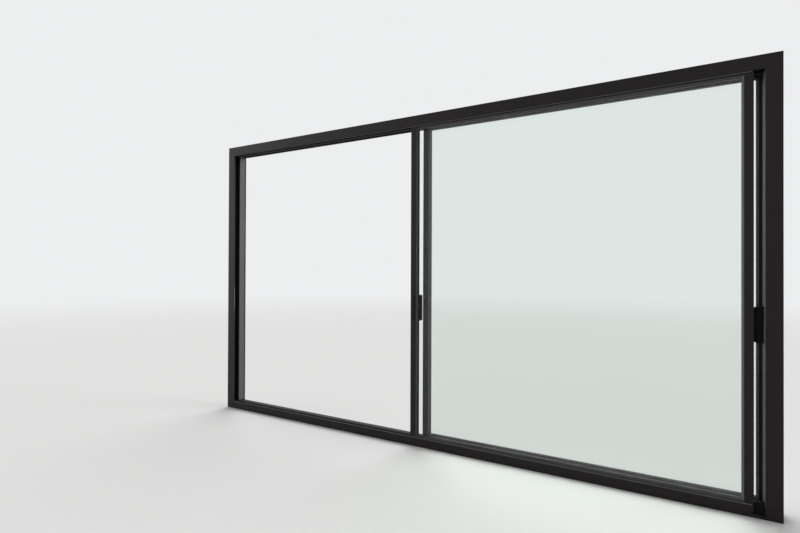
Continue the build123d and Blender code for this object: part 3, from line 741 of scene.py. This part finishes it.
@dataclass(frozen=True)
class Fastener(Growth):
    """Low round head with a bevelled rim and a sunk drive."""

    head_mm: float = 7.0
    height_mm: float = 1.2
    drive_mm: float = 3.2
    rim_sides: int = 18

    # Rise of each step as a share of the head's height, and the scale that it ends with: the
    # side, the bevelled rim, the drive's edge (no scale: the drive's own share) and its floor.
    STEPS: ClassVar = ((0.6, 1.0), (0.4, 0.86), (0.0, None), (-0.7, 1.0))

    def sizes(self) -> dict[str, float]:
        """The head's radius and height, and the share of it that the drive takes."""
        return {
            "Head Radius": self.head_mm / 2 * MM,
            "Head Height": self.height_mm * MM,
            "Drive Share": self.drive_mm / self.head_mm,
        }

    def shape(self, tree: bpy.types.NodeTree, size: Any) -> bpy.types.NodeSocket:
        """Adds the head: a disc raised, bevelled, and sunk again in its middle."""
        disc = add_node(
            tree,
            "GeometryNodeMeshCircle",
            {"Vertices": self.rim_sides, "Radius": size["Head Radius"]},
            fill_type="NGON",
        ).outputs["Mesh"]
        under = add_node(tree, "GeometryNodeFlipFaces", {"Mesh": disc})
        solid: bpy.types.NodeSocket = disc
        top: bpy.types.NodeSocket | None = None
        for rise, scale in self.STEPS:
            height = add_node(
                tree, "ShaderNodeMath", {0: size["Head Height"], 1: rise}, operation="MULTIPLY"
            )
            wanted: Inputs = {"Mesh": solid, "Offset Scale": height.outputs["Value"]}
            if top is not None:
                wanted["Selection"] = top
            raised = add_node(tree, "GeometryNodeExtrudeMesh", wanted, mode="FACES")
            top = raised.outputs["Top"]
            sized = add_node(
                tree,
                "GeometryNodeScaleElements",
                {
                    "Geometry": raised.outputs["Mesh"],
                    "Selection": top,
                    "Scale": size["Drive Share"] if scale is None else scale,
                },
            )
            solid = sized.outputs["Geometry"]
        both = add_node(tree, "GeometryNodeJoinGeometry")
        tree.links.new(solid, both.inputs["Geometry"])
        tree.links.new(under.outputs["Mesh"], both.inputs["Geometry"])
        closed = add_node(
            tree,
            "GeometryNodeMergeByDistance",
            {"Geometry": both.outputs["Geometry"], "Distance": WELD},
        )
        return closed.outputs["Geometry"]


@dataclass(frozen=True)
class Spaced(Growth):
    """Small shapes an even pitch apart along runs."""

    pitch_mm: float = 3.0

    def places(self, tree: bpy.types.NodeTree, size: Any) -> bpy.types.NodeSocket:
        """Adds the nodes that share each run out at the pitch."""
        line = add_node(tree, "GeometryNodeMeshToCurve", {"Mesh": size["Geometry"]})
        shared = add_node(
            tree,
            "GeometryNodeResampleCurve",
            {"Curve": line.outputs["Curve"], "Length": size["Pitch"]},
            mode="LENGTH",
        )
        return shared.outputs["Curve"]


@dataclass(frozen=True)
class PileTufts(Spaced):
    """Tufts of pile: tapered, laid across the run and leaning a little each its own way."""

    length_mm: float = 4.2
    root_mm: float = 1.9
    tip_mm: float = 0.4
    lean_degrees: float = 9.0
    tuft_sides: int = 3
    seed: int = 11

    def sizes(self) -> dict[str, float]:
        """The pitch, the tuft's length, the radii of its two ends, and its greatest lean."""
        return {
            "Pitch": self.pitch_mm * MM,
            "Length": self.length_mm * MM,
            "Root Radius": self.root_mm * MM,
            "Tip Radius": self.tip_mm * MM,
            "Lean": math.radians(self.lean_degrees),
        }

    def shape(self, tree: bpy.types.NodeTree, size: Any) -> bpy.types.NodeSocket:
        """Adds one tapered tuft whose middle is on the run's line."""
        tuft = add_node(
            tree,
            "GeometryNodeMeshCone",
            {
                "Vertices": self.tuft_sides,
                "Radius Top": size["Tip Radius"],
                "Radius Bottom": size["Root Radius"],
                "Depth": size["Length"],
            },
        )
        back = add_node(tree, "ShaderNodeMath", {0: size["Length"], 1: -0.5}, operation="MULTIPLY")
        shift = add_node(tree, "ShaderNodeCombineXYZ", {"Z": back.outputs["Value"]})
        across = add_node(
            tree,
            "GeometryNodeTransform",
            {"Geometry": tuft.outputs["Mesh"], "Translation": shift.outputs["Vector"]},
        )
        return across.outputs["Geometry"]

    def turn(self, tree: bpy.types.NodeTree) -> bpy.types.NodeSocket:
        """Adds a random lean, with a fixed seed, to each tuft's turn."""
        size = add_node(tree, "NodeGroupInput").outputs
        least = add_node(tree, "ShaderNodeMath", {0: size["Lean"], 1: -1.0}, operation="MULTIPLY")
        lean = add_node(
            tree,
            "FunctionNodeRandomValue",
            {0: least.outputs["Value"], 1: size["Lean"], "Seed": self.seed},
            data_type="FLOAT_VECTOR",
        )
        turned = add_node(
            tree,
            "FunctionNodeRotateRotation",
            {"Rotation": super().turn(tree), "Rotate By": lean.outputs[0]},
            rotation_space="LOCAL",
        )
        return turned.outputs["Rotation"]


@dataclass(frozen=True)
class BreatherHoles(Spaced):
    """Rows of small holes in a spacer bar, through which its drying beads breathe, drawn as painted shade:
    dark discs, not holes.
    """

    hole_mm: float = 1.6
    coat_mm: float = 0.1
    hole_sides: int = 6

    def sizes(self) -> dict[str, float]:
        """The pitch, the hole's radius and the mark's thickness."""
        return {
            "Pitch": self.pitch_mm * MM,
            "Hole Radius": self.hole_mm / 2 * MM,
            "Thickness": self.coat_mm * MM,
        }

    def shape(self, tree: bpy.types.NodeTree, size: Any) -> bpy.types.NodeSocket:
        """Adds one dark mark, as thin as a coat of paint: painted shade where a hole would be."""
        mark = add_node(
            tree,
            "GeometryNodeMeshCylinder",
            {
                "Vertices": self.hole_sides,
                "Radius": size["Hole Radius"],
                "Depth": size["Thickness"],
            },
        )
        return mark.outputs["Mesh"]


@dataclass(frozen=True)
class SealantLine(Growth):
    """A hair-thin line of dark sealant that follows the joint between two profiles."""

    breadth_mm: float = 0.8
    line_sides: int = 8

    def sizes(self) -> dict[str, float]:
        """The line's radius."""
        return {"Line Radius": self.breadth_mm / 2 * MM}

    def bodies(self, tree: bpy.types.NodeTree, size: Any) -> bpy.types.NodeSocket:
        """Adds the nodes that draw a round line along each run."""
        path = add_node(tree, "GeometryNodeMeshToCurve", {"Mesh": size["Geometry"]})
        round_line = add_node(
            tree,
            "GeometryNodeCurvePrimitiveCircle",
            {"Resolution": self.line_sides, "Radius": size["Line Radius"]},
        )
        drawn = add_node(
            tree,
            "GeometryNodeCurveToMesh",
            {
                "Curve": path.outputs["Curve"],
                "Profile Curve": round_line.outputs["Curve"],
                "Fill Caps": True,
            },
        )
        return drawn.outputs["Mesh"]


def seen_rays(tree: bpy.types.NodeTree) -> bpy.types.NodeSocket:
    """Tells the rays that show a backdrop from those that light the door with it.

    Args:
        tree: The material's or world's node tree.

    Returns:
        A socket that is 1 for the camera's, glossy and transmission rays, and 0 for the rest.
    """
    path = add_node(tree, "ShaderNodeLightPath")
    seen = path.outputs["Is Camera Ray"]
    for name in ("Is Glossy Ray", "Is Transmission Ray"):
        inputs = {0: seen, 1: path.outputs[name]}
        seen = add_node(tree, "ShaderNodeMath", inputs, operation="MAXIMUM").outputs["Value"]
    return seen


@dataclass(frozen=True)
class Lamp:
    """A broad lamp, far away, so that it lights the floor and the door evenly."""

    name: str
    towards: tuple[float, float, float]  # direction from the door to the lamp
    strength: float

    BREADTH_DEGREES: ClassVar[float] = 40.0

    def add(self) -> None:
        """Adds the lamp."""
        data = bpy.data.lights.new(self.name, "SUN")
        data.angle = math.radians(self.BREADTH_DEGREES)
        data.energy = self.strength
        lamp = bpy.data.objects.new(self.name, data)
        lamp.rotation_euler = Vector(self.towards).to_track_quat("Z", "Y").to_euler()
        lamp.visible_transmission = False  # the panes show the backdrop, not the lamps behind them
        bpy.context.scene.collection.objects.link(lamp)


@dataclass
class Studio:
    """Pale floor, plain soft light and the camera at the picture's viewing angle."""

    camera_place: tuple[float, float, float] = (1.7101, -3.2575, 1.2814)
    pan_degrees: float = 30.988
    pitch_degrees: float = 0.313
    roll_degrees: float = 0.210
    lens_mm: float = 22.632
    clip_start: float = 0.05
    clip_end: float = 200.0
    backdrop: str = "#EDEEEF"
    floor: str = "#F0F0EF"
    bounce: str = "#8C8C8B"
    floor_radius: float = 60.0
    floor_sides: int = 96
    fade_start: float = 6.0
    fade_end: float = 22.0
    ambient: float = 0.24
    lamps: tuple[Lamp, ...] = (
        Lamp("room_lamp", (-0.88, -0.47, 0.12), 1.1),
        Lamp("side_lamp", (-1.0, 0.2, 0.1), 2.2),
        Lamp("garden_lamp", (0.9, 0.45, 0.1), 1.8),
        Lamp("terrace_lamp", (-0.25, 0.7, 1.0), 1.6),
    )

    def build(self) -> None:
        """Builds the camera, the floor, the world and the lamps."""
        self.add_camera()
        self.add_floor()
        self.add_world()
        for lamp in self.lamps:
            lamp.add()

    def add_camera(self) -> None:
        """Adds the camera, all but level and panned to the left."""
        data = bpy.data.cameras.new("camera")
        data.lens = self.lens_mm
        data.clip_start, data.clip_end = self.clip_start, self.clip_end
        turns = (
            (self.pan_degrees, "Z"),
            (90 + self.pitch_degrees, "X"),
            (self.roll_degrees, "Z"),
        )
        pan, pitch, roll = (Matrix.Rotation(math.radians(angle), 3, axis) for angle, axis in turns)
        camera = bpy.data.objects.new("camera", data)
        camera.location = self.camera_place
        camera.rotation_euler = (pan @ pitch @ roll).to_euler()
        bpy.context.scene.collection.objects.link(camera)
        bpy.context.scene.camera = camera

    def add_floor(self) -> None:
        """Adds the pale floor, whose colour runs out into the backdrop's."""
        mesh = bpy.data.meshes.new("floor")
        shape = bmesh.new()
        bmesh.ops.create_circle(shape, cap_ends=True, segments=self.floor_sides, radius=self.floor_radius)
        shape.to_mesh(mesh)
        shape.free()
        floor = bpy.data.objects.new("floor", mesh)
        bpy.context.scene.collection.objects.link(floor)
        mesh.materials.append(self.floor_material())

    def floor_material(self) -> bpy.types.Material:
        """Matt pale floor near the door, and the backdrop's own brightness far from it.

        Returns:
            The material.
        """
        material = bpy.data.materials.new("pale_floor")
        material.use_nodes = True
        tree = material.node_tree
        tree.nodes.clear()
        coordinates = add_node(tree, "ShaderNodeTexCoord").outputs["Object"]
        distance = add_node(tree, "ShaderNodeVectorMath", {0: coordinates}, operation="LENGTH")
        far = add_node(
            tree,
            "ShaderNodeMapRange",
            {
                "Value": distance.outputs["Value"],
                "From Min": self.fade_start,
                "From Max": self.fade_end,
            },
            interpolation_type="SMOOTHSTEP",
        )
        matt = add_node(tree, "ShaderNodeBsdfDiffuse", {"Color": linear(self.floor)})
        glow = add_node(tree, "ShaderNodeEmission", {"Color": linear(self.backdrop)})
        both = add_node(
            tree,
            "ShaderNodeMixShader",
            {0: far.outputs["Result"], 1: matt.outputs["BSDF"], 2: glow.outputs["Emission"]},
        )
        # The light that the floor throws up at the door is that of a mid-grey floor.
        bounce = add_node(tree, "ShaderNodeBsdfDiffuse", {"Color": linear(self.bounce)})
        floor = add_node(
            tree,
            "ShaderNodeMixShader",
            {0: seen_rays(tree), 1: bounce.outputs["BSDF"], 2: both.outputs["Shader"]},
        )
        add_node(tree, "ShaderNodeOutputMaterial", {"Surface": floor.outputs["Shader"]})
        return material

    def add_world(self) -> None:
        """Adds an even world: the backdrop's colour to the eye, a softer light to the door."""
        world = bpy.data.worlds.new("studio")
        bpy.context.scene.world = world
        world.use_nodes = True
        tree = world.node_tree
        tree.nodes.clear()
        light = add_node(
            tree,
            "ShaderNodeBackground",
            {"Color": linear("#FFFFFF"), "Strength": self.ambient},
        )
        picture = add_node(tree, "ShaderNodeBackground", {"Color": linear(self.backdrop)})
        both = add_node(
            tree,
            "ShaderNodeMixShader",
            {
                0: seen_rays(tree),
                1: light.outputs["Background"],
                2: picture.outputs["Background"],
            },
        )
        add_node(tree, "ShaderNodeOutputWorld", {"Surface": both.outputs["Shader"]})


SCREWS = Fastener(
    "countersunk_screws",
    Palette.STAINLESS,
    "stainless_steel",
    head_mm=7.0,
    height_mm=0.8,
    drive_mm=3.0,
)
CAPS = Fastener(
    "fixing_caps",
    Palette.POLYAMIDE,
    "black_polyamide",
    head_mm=11.0,
    height_mm=1.0,
    drive_mm=4.0,
)


@dataclass
class Assembly:
    """A group of the door's pieces that ride on one body."""

    nodes: dict[str, bpy.types.Object]
    body: str

    def dress(self, finish: Palette, *names: str) -> None:
        """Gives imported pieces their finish.

        Args:
            finish: The finish.
            *names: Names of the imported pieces.
        """
        for name in names:
            piece = self.nodes[name]
            piece.data.materials.clear()
            piece.data.materials.append(finish.value.material())
            LOG.info("dressed %s in %s", name, finish.value.name)


@dataclass
class DoorFrame(Assembly):
    """Head, jambs and sill with their thermal bars, covers, track and seals."""

    channel_x: float = 2.029
    channel_y: float = -0.039
    channel_top: float = 2.364
    jamb_fixings: tuple[float, ...] = (0.2, 1.175, 2.15)
    head_fixings: tuple[float, ...] = (-1.65, -0.55, 0.55, 1.65)
    opening_top: float = 2.325
    screw_inset: float = 0.009
    pile_end: float = 0.003
    centre_height: float = 1.2
    sealant_past_corner: float = 0.001

    def build(self) -> None:
        """Dresses the fixed frame."""
        self.dress(Palette.PROFILES, "frame_head", "frame_jamb_left", "frame_jamb_right", "frame_sill")
        self.dress(Palette.COVERS, "jamb_cover_left", "jamb_cover_right")
        self.dress(Palette.POLYAMIDE, "frame_thermal_bars", "frame_centre_fins", "drain_hoods")
        self.dress(Palette.STAINLESS, "track_rail_inner", "track_rail_outer")
        self.dress(Palette.STRIKE, "lock_keepers")
        # The black rubber of the stop buffers is also painted shade: the one at the foot stands in for the
        # shade at the foot of the gap by the right jamb.
        self.dress(Palette.RUBBER, "stop_buffers")
        self.add_pile("seal_brushes_room", Palette.PILE)
        self.add_pile("seal_brushes_centre", Palette.PILE)
        self.add_pile("seal_brushes_outdoor", Palette.DARK_PILE)
        self.add_fixings()
        self.add_joints()

    def add_pile(self, brush: str, finish: Palette) -> None:
        """Grows tufts along the side of each brush strip that looks into the opening.

        Args:
            brush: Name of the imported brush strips.
            finish: The pile's finish.
        """
        self.dress(finish, brush)
        tufts = PileTufts("pile_tufts", finish, "pile_brush")
        centre = UP * self.centre_height
        strips = bodies_of(self.nodes[brush])
        runs = [replace(inner_run(strip, centre, self.pile_end), facing=OUTDOORS) for strip in strips]
        tufts.on_runs(f"{brush}_pile", runs, self.body)

    def add_fixings(self) -> None:
        """Grows the caps over the frame's fixings and the screws of keepers and buffer."""
        for side, name in ((RIGHT, "left"), (LEFT, "right")):
            spots = [Vector((-side.x * self.channel_x, self.channel_y, z)) for z in self.jamb_fixings]
            CAPS.on_points(f"fixing_caps_{name}", spots, side, self.body)
        spots = [Vector((x, self.channel_y, self.channel_top)) for x in self.head_fixings]
        CAPS.on_points("fixing_caps_head", spots, DOWN, self.body)
        for keeper, side in zip(bodies_of(self.nodes["lock_keepers"]), (RIGHT, LEFT)):
            reach = UP * (keeper.size.z / 2 - self.screw_inset)
            spots = [keeper.face(side) + step * reach for step in (-1, 1)]
            name = "left" if side is RIGHT else "right"
            SCREWS.on_points(f"keeper_screws_{name}", spots, side, self.body)
        foot_buffer = min(bodies_of(self.nodes["stop_buffers"]), key=lambda box: box.low.z)
        SCREWS.on_points("buffer_screw", [foot_buffer.face(UP)], UP, self.body)

    def add_joints(self) -> None:
        """Draws the sealant in the head's mitres and in the butt joints beside the sill."""
        line = SealantLine("joint_sealant", Palette.RUBBER, "gasket_rubber")
        jamb = bodies_of(self.nodes["frame_jamb_right"])[0]
        sill = bodies_of(self.nodes["frame_sill"])
        for face_y, foot in ((jamb.low.y, sill[-1].high.z), (-jamb.low.y, sill[1].high.z)):
            runs = []
            for step in (-1, 1):
                inner = Vector((step * jamb.low.x, face_y, self.opening_top))
                corner = Vector((step * jamb.high.x, face_y, jamb.high.z))
                outer = corner + (inner - corner).normalized() * self.sealant_past_corner
                runs.append(Run(inner, outer, UP))
                base = Vector((inner.x, face_y, 0))
                runs.append(Run(base, base + UP * foot, UP))
            name = "room" if face_y < 0 else "outdoor"
            line.on_runs(f"joint_sealant_{name}", runs, self.body)


@dataclass
class Leaf(Assembly):
    """One glazed leaf: its profiles, glass unit, pulls and running gear."""

    name: str = ""
    bow_pull: str = ""
    flush_pull: str = ""
    grip_depth: float = 0.012
    grip_bevel: float = 0.001
    bumper_reach: float = 0.008
    bumper_root: float = 0.0005
    bumper_inset: float = 0.003
    bumper_radius: float = 0.0015
    hole_inset: float = 0.02
    screw_inset: float = 0.009

    def build(self) -> None:
        """Dresses the leaf."""
        parts = {
            Palette.PROFILES: (
                "lock_stile",
                "interlock_stile",
                "top_rail",
                "bottom_rail",
            ),
            Palette.BEADS: ("glazing_beads",),
            Palette.GLASS: ("glass_room", "glass_outdoor"),
            Palette.SPACERS: ("spacer_bars",),
            Palette.RUBBER: ("gaskets",),
            Palette.POLYAMIDE: ("thermal_bars", "lift_guards", "setting_blocks", "rollers"),
            Palette.STRIKE: ("lock_faceplate",),
            Palette.STAINLESS: ("roller_carriages",),
            Palette.PULLS: (self.bow_pull,),
            Palette.FLUSH: (self.flush_pull,),
        }
        for finish, names in parts.items():
            self.dress(finish, *(f"{self.name}_{part}" for part in names))
        self.add_breather_holes()
        self.add_screws()
        self.add_bumper()

    def add_bumper(self) -> None:
        """Adds the rubber bumper on the bow pull's grip, on the side where the leaves meet."""
        pull = bodies_of(self.nodes[f"{self.name}_{self.bow_pull}"])[0]
        pane = bodies_of(self.nodes[f"{self.name}_glass_room"])[0]
        side = RIGHT if pull.middle.x < pane.middle.x else LEFT
        out = OUTDOORS if pull.middle.y > pane.middle.y else ROOMWARDS
        root = pull.face(side) - side * self.bumper_root
        tip = pull.face(out) - out * self.grip_bevel
        reach = side * (self.bumper_reach + self.bumper_root)
        depth = out * (self.grip_depth - 2 * self.grip_bevel)
        half = UP * (pull.size.z / 2 - self.bumper_inset)
        first = Vector((root.x, tip.y, pull.middle.z)) - half
        last = first + reach - depth + 2 * half
        corners = [sorted(pair) for pair in zip(first, last)]
        low, high = (Vector(pair[end] for pair in corners) for end in (0, 1))
        name = f"{self.name}_pull_bumper"
        mesh = rounded_block(name, Box(low, high), self.bumper_radius)
        mesh.materials.append(Palette.RUBBER.value.material())
        bumper = bpy.data.objects.new(name, mesh)
        bpy.context.scene.collection.objects.link(bumper)
        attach(bumper, self.body)
        LOG.info("added %s", name)

    def add_breather_holes(self) -> None:
        """Grows the rows of dark marks, painted shade of holes, along the spacer bars' inner sides."""
        holes = BreatherHoles("breather_holes", Palette.RUBBER, "gasket_rubber", pitch_mm=12.0)
        bars = bodies_of(self.nodes[f"{self.name}_spacer_bars"])
        centre = sum((bar.middle for bar in bars), Vector()) / len(bars)
        runs = [inner_run(bar, centre, self.hole_inset) for bar in bars]
        holes.on_runs(f"{self.name}_breather_holes", runs, self.body)

    def add_screws(self) -> None:
        """Grows the faceplate's two screws."""
        plate = bodies_of(self.nodes[f"{self.name}_lock_faceplate"])[0]
        pane = bodies_of(self.nodes[f"{self.name}_glass_room"])[0]
        side = LEFT if plate.middle.x < pane.middle.x else RIGHT
        reach = UP * (plate.size.z / 2 - self.screw_inset)
        spots = [plate.face(side) + step * reach for step in (-1, 1)]
        SCREWS.on_points(f"{self.name}_faceplate_screws", spots, side, self.body)


def main() -> None:
    """Builds the door's sub-assemblies in order, then the studio."""
    logging.basicConfig(level=logging.INFO, format="%(name)s: %(message)s")
    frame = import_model()
    bpy.context.scene.view_settings.view_transform = "Standard"
    nodes = frame["nodes"]
    DoorFrame(nodes, "door_frame").build()
    Leaf(
        nodes,
        "door_frame",
        "leaf_outer",
        "pull_room",
        "pull_outdoor",
        grip_depth=0.010,
        bumper_reach=0.0065,
    ).build()
    Leaf(nodes, "sliding_leaf", "leaf_inner", "pull_outdoor", "pull_room").build()
    Studio().build()


if __name__ == "__main__":
    main()
